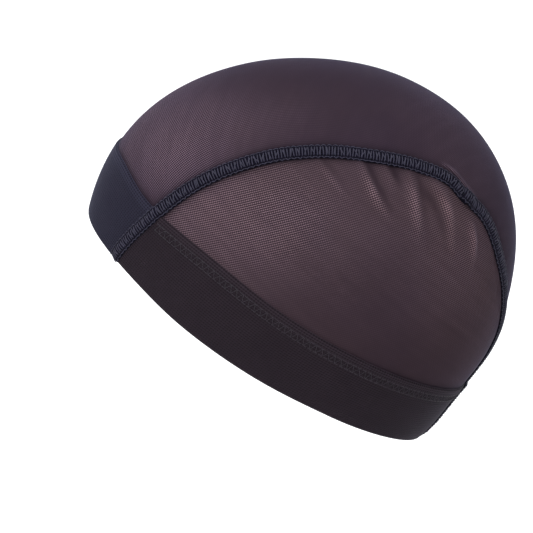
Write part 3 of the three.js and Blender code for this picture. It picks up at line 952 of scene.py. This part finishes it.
def mesh_material(name, settings, tint):
    """The stretch mesh: dark yarn round small openings, paler where it is stretched and where
    light is painted on it, with painted shade by seams and bands.
    """
    material, tree, shader, place, cloth = new_material(name)
    look = MESH_LOOK

    def tone(shade):
        return tuple(part * share for part, share in zip(shade, tint))

    net = placed_group(
        tree, "net", net_group, map=cloth, rib_pitch=settings.rib_pitch,
        course_pitch=settings.course_pitch, closeness=look["closeness"],
    )
    patches = placed_group(tree, "patches", patches_group, place=place, size=look["patch_size"])
    streaks = placed_group(
        tree, "streaks", streaks_group, map=cloth, width=look["streak_width"],
        length=look["streak_length"], turn=STREAK_TURN,
    )
    drift = placed_group(tree, "patches", patches_group, place=place, size=look["drift_size"])
    # The marks: stretch with painted light and shade, and painted shade by seams and bands.
    sheer_and_light = node(tree, "ShaderNodeAttribute", attribute_name=SHEER_AND_LIGHT).outputs["Fac"]
    painted_shade_depth = node(tree, "ShaderNodeAttribute", attribute_name=PAINTED_SHADE_MARK).outputs["Fac"]

    def uneven(value, share):
        """As far above as below nothing."""
        return math_node(tree, "MULTIPLY_ADD", value, share, share / -2)

    patchy = uneven(patches["Value"], look["patch_share"])
    streaked = uneven(streaks["Value"], settings.streaks)
    change = math_node(tree, "MULTIPLY_ADD", streaked, sheer_and_light, patchy)
    # stretched is partly the mesh's stretch and partly painted light and shade.
    clamp = node(tree, "ShaderNodeClamp")
    tree.links.new(math_node(tree, "ADD", sheer_and_light, change), clamp.inputs["Value"])
    stretched = clamp.outputs[0]

    # Where the mark is high the yarn and openings are paler: partly stretch, partly painted light of a
    # lit head seen through the openings.
    yarn = mixed_colour(tree, stretched, tone(settings.mesh_yarn), tone(settings.mesh_yarn_pale))
    opened_and_lit = math_node(tree, "POWER", stretched, look["film_power"])
    film = mixed_colour(tree, opened_and_lit, tone(settings.mesh_film), tone(settings.mesh_film_pale))
    clear = smooth_share(tree, stretched, look["clear_from"], look["clear_to"], look["least_clear"])
    blurred = math_node(tree, "SUBTRACT", net["Opening"], OPEN_SHARE)
    shown = math_node(tree, "MULTIPLY_ADD", blurred, clear, OPEN_SHARE)
    colour = mixed_colour(tree, shown, yarn, film)
    hue = mixed_colour(tree, drift["Value"], settings.cool_tint, settings.warm_tint)
    colour = mixed_colour(tree, 1.0, colour, hue, "MULTIPLY")
    # Painted shade where the mesh runs under a seam or a band.
    in_painted_shade = math_node(tree, "MULTIPLY", painted_shade_depth, look["painted_shade_share"])
    shaded = mixed_colour(tree, in_painted_shade, colour, settings.mesh_painted_shade)
    tree.links.new(shaded, shader.inputs["Base Color"])

    see_through = math_node(tree, "MULTIPLY", net["Opening"], settings.openness)
    see_through = math_node(tree, "MULTIPLY", see_through, stretched)
    tree.links.new(math_node(tree, "SUBTRACT", 1.0, see_through), shader.inputs["Alpha"])
    relief = math_node(tree, "MULTIPLY", net["Height"], math_node(tree, "POWER", stretched, 2.0))
    bump(tree, shader, relief, look["relief"])
    set_values(shader, {
        "Roughness": 0.8, "Specular IOR Level": 0.02, "Sheen Weight": 0.06,
        "Sheen Roughness": 0.3, "Sheen Tint": (0.5, 0.55, 1, 1),
    })
    return material


def band_material(name, tone, other, sheen):
    """The close knit of a band: fine courses, with slow changes of tone."""
    found = bpy.data.materials.get(name)
    if found:
        return found
    material, tree, shader, place, cloth = new_material(name)
    look = BAND_LOOK
    net = placed_group(
        tree, "net", net_group, map=cloth, rib_pitch=look["rib_pitch"],
        course_pitch=look["course_pitch"], closeness=0.0,
    )
    patches = placed_group(tree, "patches", patches_group, place=place, size=look["patch_size"])
    base = mixed_colour(tree, patches["Value"], tone, other)
    parts = node(tree, "ShaderNodeSeparateXYZ")
    tree.links.new(cloth, parts.inputs[0])
    start, end = BAND_HEIGHT - TOP_STRIP, BAND_HEIGHT - TOP_STRIP / 2
    strip = smooth_share(tree, parts.outputs["Y"], start, end, 0.0, look["strip_share"])
    base = mixed_colour(tree, strip, base, scaled(other, look["strip_light"]))
    base = mixed_colour(tree, net["Opening"], base, scaled(tone, look["gap_tone"]))
    tree.links.new(base, shader.inputs["Base Color"])
    bump(tree, shader, net["Height"], look["relief"])
    set_values(shader, {
        "Roughness": 0.75, "Specular IOR Level": 0.03, "Sheen Weight": sheen,
        "Sheen Roughness": 0.35, "Sheen Tint": (0.55, 0.6, 1, 1),
    })
    return material


def thread_material(name, tone):
    """Twisted sewing thread."""
    material, tree, shader, place, _ = new_material(name)
    look = THREAD_LOOK
    patches = placed_group(tree, "patches", patches_group, place=place, size=look["patch_size"])
    dark, light = scaled(tone, look["dark"]), scaled(tone, look["light"])
    base = mixed_colour(tree, patches["Value"], dark, light)
    tree.links.new(base, shader.inputs["Base Color"])
    set_values(shader, {"Roughness": 0.6, "Specular IOR Level": 0.15})
    return material


# Stitches

def stitch_tree():
    """Lays stitches along a path: each is a short arc of thread, turned from the path's
    direction, every other one turned the other way if Alternate is set."""
    found = bpy.data.node_groups.get("stitch_row")
    if found:
        return found
    tree = bpy.data.node_groups.new("stitch_row", "GeometryNodeTree")
    sockets = [
        ("Path", "Geometry", None),
        ("Pitch", "Float", 0.00115),
        ("Reach", "Float", 0.0038),
        ("Rise", "Float", 0.0005),
        ("Thread", "Float", 0.0002),
        ("Turn", "Float", 0.0),
        ("Alternate", "Float", 0.0),
        ("Lean", "Float", 0.0),
        ("Seed", "Int", 0),
        ("Finish", "Material", None),
    ]
    for label, kind, value in sockets:
        socket = tree.interface.new_socket(label, in_out="INPUT", socket_type=f"NodeSocket{kind}")
        if value is not None:
            socket.default_value = value
    tree.interface.new_socket("Stitches", in_out="OUTPUT", socket_type="NodeSocketGeometry")
    given = node(tree, "NodeGroupInput").outputs
    made = node(tree, "NodeGroupOutput").inputs
    link = tree.links.new

    curve = node(tree, "GeometryNodeMeshToCurve")
    link(given["Path"], curve.inputs["Mesh"])
    spaced = node(tree, "GeometryNodeResampleCurve", mode="LENGTH")
    link(curve.outputs[0], spaced.inputs["Curve"])
    link(given["Pitch"], spaced.inputs["Length"])

    off = node(tree, "GeometryNodeInputNamedAttribute", data_type="FLOAT_VECTOR")
    off.inputs["Name"].default_value = OFF
    upright = node(tree, "FunctionNodeAlignRotationToVector", axis="Z")
    link(off.outputs["Attribute"], upright.inputs["Vector"])
    onward = node(tree, "FunctionNodeAlignRotationToVector", axis="X", pivot_axis="Z")
    link(upright.outputs[0], onward.inputs["Rotation"])
    link(node(tree, "GeometryNodeInputTangent").outputs[0], onward.inputs["Vector"])

    index = node(tree, "GeometryNodeInputIndex").outputs[0]
    parity = math_node(tree, "MODULO", index, 2.0)
    sign = math_node(tree, "SUBTRACT", math_node(tree, "MULTIPLY", parity, 2.0), 1.0)
    other_way = math_node(tree, "MULTIPLY", sign, given["Alternate"])
    chance = node(tree, "FunctionNodeRandomValue", data_type="FLOAT")
    chance.inputs[2].default_value = -1.0
    chance.inputs[3].default_value = 1.0
    link(given["Seed"], chance.inputs["Seed"])
    leaning = math_node(tree, "MULTIPLY", chance.outputs[1], given["Lean"])
    total = math_node(tree, "ADD", math_node(tree, "ADD", given["Turn"], other_way), leaning)
    angles = node(tree, "ShaderNodeCombineXYZ")
    link(total, angles.inputs["Z"])
    by = node(tree, "FunctionNodeEulerToRotation")
    link(angles.outputs[0], by.inputs[0])
    turned = node(tree, "FunctionNodeRotateRotation", rotation_space="LOCAL")
    link(onward.outputs[0], turned.inputs["Rotation"])
    link(by.outputs[0], turned.inputs["Rotate By"])

    half = math_node(tree, "MULTIPLY", given["Reach"], 0.5)
    arc = node(tree, "GeometryNodeCurveQuadraticBezier")
    arc.inputs["Resolution"].default_value = 6
    for name, value in (("Start", math_node(tree, "MULTIPLY", half, -1.0)), ("End", half)):
        point = node(tree, "ShaderNodeCombineXYZ")
        link(value, point.inputs["X"])
        link(point.outputs[0], arc.inputs[name])
    top = node(tree, "ShaderNodeCombineXYZ")
    link(math_node(tree, "MULTIPLY", given["Rise"], 2.0), top.inputs["Z"])
    link(top.outputs[0], arc.inputs["Middle"])
    round_section = node(tree, "GeometryNodeCurvePrimitiveCircle", mode="RADIUS")
    round_section.inputs["Resolution"].default_value = 6
    link(given["Thread"], round_section.inputs["Radius"])
    thread = node(tree, "GeometryNodeCurveToMesh")
    thread.inputs["Fill Caps"].default_value = True
    link(arc.outputs[0], thread.inputs["Curve"])
    link(round_section.outputs[0], thread.inputs["Profile Curve"])

    laid = node(tree, "GeometryNodeInstanceOnPoints")
    link(spaced.outputs[0], laid.inputs["Points"])
    link(thread.outputs[0], laid.inputs["Instance"])
    link(turned.outputs[0], laid.inputs["Rotation"])
    real = node(tree, "GeometryNodeRealizeInstances")
    link(laid.outputs[0], real.inputs[0])
    finish = node(tree, "GeometryNodeSetMaterial")
    link(real.outputs[0], finish.inputs["Geometry"])
    link(given["Finish"], finish.inputs["Material"])
    link(finish.outputs[0], made[0])
    return tree


def path_mesh(name, points, off):
    """A line of points that keeps the direction off the head form at each."""
    mesh = bpy.data.meshes.new(name)
    order = [(i, i + 1) for i in range(len(points) - 1)]
    mesh.from_pydata(points, order, [])
    layer = mesh.attributes.new(OFF, "FLOAT_VECTOR", "POINT")
    layer.data.foreach_set("vector", off.astype(np.float32).ravel())
    return mesh


def stitch_row(path, material, **sizes):
    """The mesh of one row of stitches along a path."""
    carrier = bpy.data.objects.new("stitch_path", path)
    bpy.context.scene.collection.objects.link(carrier)
    modifier = carrier.modifiers.new("stitches", "NODES")
    tree = stitch_tree()
    modifier.node_group = tree
    given = dict(sizes, Finish=material)
    for item in tree.interface.items_tree:
        if item.in_out == "INPUT" and item.name in given:
            modifier[item.identifier] = given[item.name]
    graph = bpy.context.evaluated_depsgraph_get()
    mesh = bpy.data.meshes.new_from_object(carrier.evaluated_get(graph))
    bpy.data.objects.remove(carrier)
    bpy.data.meshes.remove(path)
    return mesh


def joined(name, meshes):
    """Several meshes as one."""
    work = bmesh.new()
    for mesh in meshes:
        work.from_mesh(mesh)
        bpy.data.meshes.remove(mesh)
    bmesh.ops.recalc_face_normals(work, faces=work.faces)
    result = bpy.data.meshes.new(name)
    work.to_mesh(result)
    work.free()
    result.shade_smooth()
    return result


def seam_path(beside, lift, steps):
    """A line on the tape's face, beside the seam's middle, from rim to rim."""
    start, end = (seam_crossing(beside, SEWN_FROM, at_nape) for at_nape in (False, True))
    angle = np.linspace(start, end, steps)
    offsets = np.full(steps, float(beside))
    points = seam_points(angle, offsets)
    off = stand_off(points)
    run = lengths_along(points)
    past_join = run - np.interp(TAPE_JOIN, angle, run)
    height = tape_top(angle, offsets) + lap_rise(past_join) + lift
    return path_mesh("seam_path", points + off * height[:, None], off)


def seam_stitches_mesh(stitches, material):
    """The overlock of a seam: rungs over the tape, slanted threads between them and a
    chain along each edge."""
    edge = SEAM_WIDTH / 2 - CHAIN_INSET
    rows = []
    for values in OVERLOCK_ROWS:
        row = dict(zip(OVERLOCK_COLUMNS, values))
        path = seam_path(row["beside"] * edge, -row["depth"], row["steps"])
        rows.append(stitch_row(
            path, material, Pitch=row["pitch"] * stitches.rung_pitch, Reach=row["reach"],
            Rise=row["rise"], Thread=row["thread"] * stitches.seam_thread,
            Turn=math.radians(row["turn"]), Alternate=row["alternate"], Lean=row["lean"],
            Seed=row["seed"],
        ))
    return joined("seam_stitches_left", rows)


def band_path(start, end, below_top, steps=300):
    """A line on a band's face at a distance below its top edge, between two turns."""
    turn = np.linspace(start, end, steps)
    points = ring_points(turn, band_top(turn) - below_top)
    off = stand_off(points)
    return path_mesh("band_path", points + off * BAND_WALL, off)


def topstitch_mesh(name, start, end, stitches, material):
    """Two rows of stitches below the band's top edge, with a zigzag of thread between."""
    between = stitches.second_row - stitches.first_row
    middle = band_path(start, end, stitches.first_row + between / 2)
    rows = [stitch_row(
        middle, material, Pitch=stitches.stitch_pitch * 0.6, Reach=between, Rise=TOPSTITCH_RISE,
        Thread=stitches.band_thread * 0.35, Turn=math.pi / 2, Alternate=0.45, Lean=0.1, Seed=7,
    )]
    for seed, below in enumerate((stitches.first_row, stitches.second_row)):
        rows.append(stitch_row(
            band_path(start, end, below), material, Pitch=stitches.stitch_pitch,
            Reach=stitches.stitch_pitch * 0.8, Rise=TOPSTITCH_RISE,
            Thread=stitches.band_thread / 2, Lean=0.05, Seed=seed,
        ))
    return joined(name, rows)


# Settings, operators and panel

def amount(name, description, value, **options):
    return bpy.props.FloatProperty(
        name=name, description=description, default=value, min=0.0, **options
    )


def length(name, description, value):
    return amount(name, description, value, precision=5, unit="LENGTH", subtype="DISTANCE")


def colour(name, description, value):
    return bpy.props.FloatVectorProperty(
        name=name, description=description, default=value, size=3, min=0.0, max=1.0,
        subtype="COLOR",
    )


class WigCapCloth(bpy.types.PropertyGroup):
    """Colours and sizes of the mesh and the bands."""

    mesh_yarn: colour(
        "Close yarn", "Tone of the yarn where the mesh is close",
        (0.0172, 0.0115, 0.0158),
    )
    # The stretched tones are also painted light: the pale openings stand for a lit head seen through the
    # mesh.
    mesh_yarn_pale: colour(
        "Stretched yarn", "Tone of the yarn where the mesh is stretched",
        (0.0195, 0.0138, 0.0176),
    )
    mesh_film: colour(
        "Close openings", "Tone in the openings where the mesh is close",
        (0.0188, 0.0128, 0.0171),
    )
    mesh_film_pale: colour(
        "Stretched openings", "Tone in the openings where the mesh is stretched",
        (0.258, 0.182, 0.210),
    )
    # Painted shade: the dark tone of the mesh where it runs under a seam or a band.
    mesh_painted_shade: colour(
        "Painted shade", "Tone of the mesh where it runs under a seam",
        (0.005, 0.0038, 0.006),
    )
    warm_tint: colour("Warm tint", "Tint of the mesh's browner patches", (1.0, 0.90, 0.78))
    cool_tint: colour("Cool tint", "Tint of the mesh's more purple patches", (0.94, 0.90, 1.0))
    crown_tint: colour(
        "Crown tint", "Tint of the crown panel's mesh against the side panels'",
        (0.86, 0.88, 1.0),
    )
    rib_pitch: length("Rib pitch", "Distance between ribs of the mesh", 0.00088)
    course_pitch: length("Course pitch", "Distance between courses of the mesh", 0.00094)
    openness: amount(
        "Openness", "How far the openings let light through", 0.15, max=1.0, subtype="FACTOR"
    )
    streaks: amount("Streaks", "How uneven the stretch is, in slanted streaks", 0.4, max=2.0)
    front_band: colour("Front band", "Colour of the front band", (0.0115, 0.0105, 0.0185))
    front_band_light: colour("Light front band", "Its lighter tone", (0.0155, 0.0145, 0.0245))
    side_band: colour("Side band", "Colour of the side and nape bands", (0.0120, 0.0084, 0.0113))
    side_band_light: colour("Light side band", "Their lighter tone", (0.0170, 0.0122, 0.0160))
    tape: colour("Seam tape", "Colour of the tape under the stitches", (0.004, 0.0034, 0.008))


class WigCapStitches(bpy.types.PropertyGroup):
    """Sizes and colours of the stitches."""

    rung_pitch: length("Rung pitch", "Distance between overlock stitches", 0.00125)
    seam_thread: length("Seam thread", "Diameter of the overlock thread", 0.00042)
    seam_colour: colour(
        "Seam thread colour", "Colour of the overlock thread",
        (0.022, 0.0205, 0.035),
    )
    first_row: length("First row", "Distance of the first topstitch row below the band's top", 0.0035)
    second_row: length("Second row", "Distance of the second topstitch row below the band's top", 0.0065)
    stitch_pitch: length("Stitch pitch", "Length of a topstitch with its gap", 0.0026)
    band_thread: length("Band thread", "Diameter of the topstitch thread", 0.00028)
    band_colour: colour(
        "Band thread colour", "Colour of the topstitch thread",
        (0.0185, 0.016, 0.021),
    )


class WigCapStage(bpy.types.PropertyGroup):
    """Floor, light and camera."""

    floor_drop: length("Floor drop", "Depth of the floor below the middle of the opening", 0.26)
    floor_radius: length("Floor radius", "Radius of the flat part of the floor", 2.4)
    floor_colour: colour(
        "Floor colour", "Colour of the floor and the backdrop",
        (0.88, 0.88, 0.88),
    )
    key_power: amount("Key light", "Power of the key light", 60.0, unit="POWER")
    top_power: amount("Top light", "Power of the light above", 50.0, unit="POWER")
    sky: amount("Sky", "Strength of the even light all round", 0.8)
    distance: length("Camera distance", "Distance of the camera from its target", 1.4)
    elevation: amount(
        "Elevation", "Camera's height above the horizon, as an angle", math.radians(17),
        unit="ROTATION", subtype="ANGLE",
    )


class PieceOperator:
    """What the operators of the pieces share."""

    bl_options = {"REGISTER", "UNDO"}

    def execute(self, context):
        self.build(context.scene.wig_cap_cloth, context.scene.wig_cap_stitches)
        return {"FINISHED"}


class WIGCAP_OT_crown_panel(PieceOperator, bpy.types.Operator):
    """Stretches the mesh over the crown, between the two seams"""

    bl_idname = "wig_cap.crown_panel"
    bl_label = "Crown panel"

    def build(self, cloth, stitches):
        finish = mesh_material("crown_mesh", cloth, cloth.crown_tint)
        piece = add_object("crown_cloth", crown_mesh(), finish)
        dress(piece, "crown_panel")


class WIGCAP_OT_side_panels(PieceOperator, bpy.types.Operator):
    """Makes the two side panels of mesh, gathered below the rear half of each seam"""

    bl_idname = "wig_cap.side_panels"
    bl_label = "Side panels"

    def build(self, cloth, stitches):
        finish = mesh_material("side_mesh", cloth, (1, 1, 1))
        left = side_mesh()
        for side, mesh in (("left", left), ("right", mirrored(left, "side_panel_right"))):
            piece = add_object(f"side_cloth_{side}", mesh, finish)
            dress(piece, f"side_panel_{side}")


class WIGCAP_OT_front_band(PieceOperator, bpy.types.Operator):
    """Makes the wide band over the forehead"""

    bl_idname = "wig_cap.front_band"
    bl_label = "Front band"

    def build(self, cloth, stitches):
        finish = band_material("front_band_knit", cloth.front_band, cloth.front_band_light, 0.04)
        piece = add_object("front_band_cloth", front_band_mesh(), finish)
        dress(piece, "front_band")


class WIGCAP_OT_side_bands(PieceOperator, bpy.types.Operator):
    """Makes the bands over the ears"""

    bl_idname = "wig_cap.side_bands"
    bl_label = "Side bands"

    def build(self, cloth, stitches):
        finish = band_material("side_band_knit", cloth.side_band, cloth.side_band_light, 0.03)
        left = side_band_mesh()
        for side, mesh in (("left", left), ("right", mirrored(left, "side_band_right"))):
            piece = add_object(f"side_band_cloth_{side}", mesh, finish)
            dress(piece, f"side_band_{side}")


class WIGCAP_OT_nape_band(PieceOperator, bpy.types.Operator):
    """Makes the short band at the nape"""

    bl_idname = "wig_cap.nape_band"
    bl_label = "Nape band"

    def build(self, cloth, stitches):
        finish = band_material("side_band_knit", cloth.side_band, cloth.side_band_light, 0.03)
        piece = add_object("nape_band_cloth", nape_band_mesh(), finish)
        dress(piece, "nape_band")


class WIGCAP_OT_seams(PieceOperator, bpy.types.Operator):
    """Lays the raised tape of both seams and sews it down"""

    bl_idname = "wig_cap.seams"
    bl_label = "Seams"

    def build(self, cloth, stitches):
        tape = band_material("seam_tape", cloth.tape, cloth.tape, 0.0)
        thread = thread_material("seam_thread", stitches.seam_colour)
        strip, sewing = tape_mesh(), seam_stitches_mesh(stitches, thread)
        strips = {"left": strip, "right": mirrored(strip, "seam_right")}
        sewings = {"left": sewing, "right": mirrored(sewing, "seam_stitches_right")}
        for side in strips:
            piece = add_object(f"seam_tape_{side}", strips[side], tape)
            dress(piece, f"seam_{side}")
            threads = add_object(f"seam_stitches_{side}", sewings[side], thread)
            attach(threads, "root")


class WIGCAP_OT_topstitches(PieceOperator, bpy.types.Operator):
    """Sews two rows of stitches below the top edge of the side and nape bands"""

    bl_idname = "wig_cap.topstitches"
    bl_label = "Topstitches"

    def build(self, cloth, stitches):
        thread = thread_material("band_thread", stitches.band_colour)
        front = seam_turn(EAR_SIDE, TOPSTITCH_SHARE, False) + TOPSTITCH_CLEAR
        back = seam_turn(EAR_SIDE, TOPSTITCH_SHARE, True) - TOPSTITCH_CLEAR
        nape = seam_turn(CROWN_SIDE, TOPSTITCH_SHARE, True) + TOPSTITCH_CLEAR
        left = topstitch_mesh("topstitches_left", front, back, stitches, thread)
        middle = topstitch_mesh("topstitches_nape", nape, 360 - nape, stitches, thread)
        rows = {"left": left, "right": mirrored(left, "topstitches_right"), "nape": middle}
        for name, mesh in rows.items():
            piece = add_object(f"topstitches_{name}", mesh, thread)
            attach(piece, "root")


def backdrop_mesh(stage):
    """A floor that curves up into a wall all round."""
    bend, wall, steps, count = 0.9, 2.4, 12, 64
    profile = [(stage.floor_radius, 0.0)]
    for step in range(1, steps + 1):
        angle = math.pi / 2 * step / steps
        reach = stage.floor_radius + bend * math.sin(angle)
        profile.append((reach, bend * (1 - math.cos(angle))))
    profile.append((stage.floor_radius + bend, bend + wall))
    vertices = [(0.0, 0.0, -stage.floor_drop)]
    for radius, height in profile:
        for step in range(count):
            angle = 2 * math.pi * step / count
            place = (radius * math.cos(angle), radius * math.sin(angle), height - stage.floor_drop)
            vertices.append(place)
    faces = [(0, 1 + step, 1 + (step + 1) % count) for step in range(count)]
    for ring in range(len(profile) - 1):
        for step in range(count):
            a = 1 + ring * count + step
            b = 1 + ring * count + (step + 1) % count
            faces.append((a, a + count, b + count, b))
    mesh = bpy.data.meshes.new("backdrop")
    mesh.from_pydata(vertices, [], faces)
    mesh.shade_smooth()
    return mesh


def add_light(name, power):
    look = LIGHTS[name]
    light = bpy.data.lights.new(f"{name}_light", "AREA")
    light.shape = "DISK"
    light.size = look["size"]
    light.energy = power
    light.color = look["tint"]
    lamp = bpy.data.objects.new(f"{name}_light", light)
    lamp.location = look["place"]
    aim = Vector(LIGHT_AIM) - Vector(look["place"])
    lamp.rotation_euler = aim.to_track_quat("-Z", "Y").to_euler()
    bpy.context.scene.collection.objects.link(lamp)


def add_camera(stage):
    """The photograph's viewing angle: level with the wearer's left, a little above."""
    elevation = stage.elevation
    back = Vector((math.cos(elevation), 0, math.sin(elevation)))
    right = Vector((0, 1, 0))
    up = back.cross(right)
    aim = TARGET - (right * TARGET_RIGHT + up * TARGET_UP) * PIXEL_AT_TARGET
    data = bpy.data.cameras.new("camera")
    data.sensor_width = SENSOR * 1000
    data.lens = SENSOR * 1000 * stage.distance / (PHOTO_SIDE * PIXEL_AT_TARGET)
    data.clip_start = 0.05
    camera = bpy.data.objects.new("camera", data)
    camera.location = aim + back * stage.distance
    camera.rotation_euler = (-back).to_track_quat("-Z", "Y").to_euler()
    bpy.context.scene.collection.objects.link(camera)
    bpy.context.scene.camera = camera


class WIGCAP_OT_stage(bpy.types.Operator):
    """Sets up the floor, the lights and the camera"""

    bl_idname = "wig_cap.stage"
    bl_label = "Stage"
    bl_options = {"REGISTER", "UNDO"}

    def execute(self, context):
        stage = context.scene.wig_cap_stage
        material, tree, shader, _, _ = new_material("pale_floor")
        shader.inputs["Base Color"].default_value = (*stage.floor_colour, 1)
        shader.inputs["Roughness"].default_value = 0.9
        floor = add_object("backdrop", backdrop_mesh(stage), material)
        add_light("key", stage.key_power)
        add_light("top", stage.top_power)
        world = bpy.data.worlds.new("studio")
        world.use_nodes = True
        background = world.node_tree.nodes["Background"].inputs
        background["Color"].default_value = (1, 1, 1, 1)
        background["Strength"].default_value = stage.sky
        context.scene.world = world
        context.scene.view_settings.view_transform = "Standard"
        add_camera(stage)
        return {"FINISHED"}


class WIGCAP_PT_panel(bpy.types.Panel):
    """Lists the pieces of the cap"""

    bl_idname = "WIGCAP_PT_panel"
    bl_label = "Wig cap"
    bl_space_type = "VIEW_3D"
    bl_region_type = "UI"
    bl_category = "Wig cap"

    def draw(self, context):
        for group_name in SETTINGS:
            settings = getattr(context.scene, group_name)
            box = self.layout.box()
            for name in settings.bl_rna.properties.keys():
                if name not in {"rna_type", "name"}:
                    box.prop(settings, name)
        for operator in OPERATORS:
            self.layout.operator(operator.bl_idname)


SETTINGS = {
    "wig_cap_cloth": WigCapCloth,
    "wig_cap_stitches": WigCapStitches,
    "wig_cap_stage": WigCapStage,
}
OPERATORS = [
    WIGCAP_OT_crown_panel,
    WIGCAP_OT_side_panels,
    WIGCAP_OT_front_band,
    WIGCAP_OT_side_bands,
    WIGCAP_OT_nape_band,
    WIGCAP_OT_seams,
    WIGCAP_OT_topstitches,
    WIGCAP_OT_stage,
]


def register():
    for settings in SETTINGS.values():
        bpy.utils.register_class(settings)
    for operator in OPERATORS:
        bpy.utils.register_class(operator)
    bpy.utils.register_class(WIGCAP_PT_panel)
    for name, settings in SETTINGS.items():
        setattr(bpy.types.Scene, name, bpy.props.PointerProperty(type=settings))


def unregister():
    for name in SETTINGS:
        delattr(bpy.types.Scene, name)
    bpy.utils.unregister_class(WIGCAP_PT_panel)
    for operator in reversed(OPERATORS):
        bpy.utils.unregister_class(operator)
    for settings in reversed(list(SETTINGS.values())):
        bpy.utils.unregister_class(settings)


def main():
    register()
    for operator in OPERATORS:
        step = operator.bl_idname.split(".")[1]
        getattr(bpy.ops.wig_cap, step)()


if __name__ == "__main__":
    main()
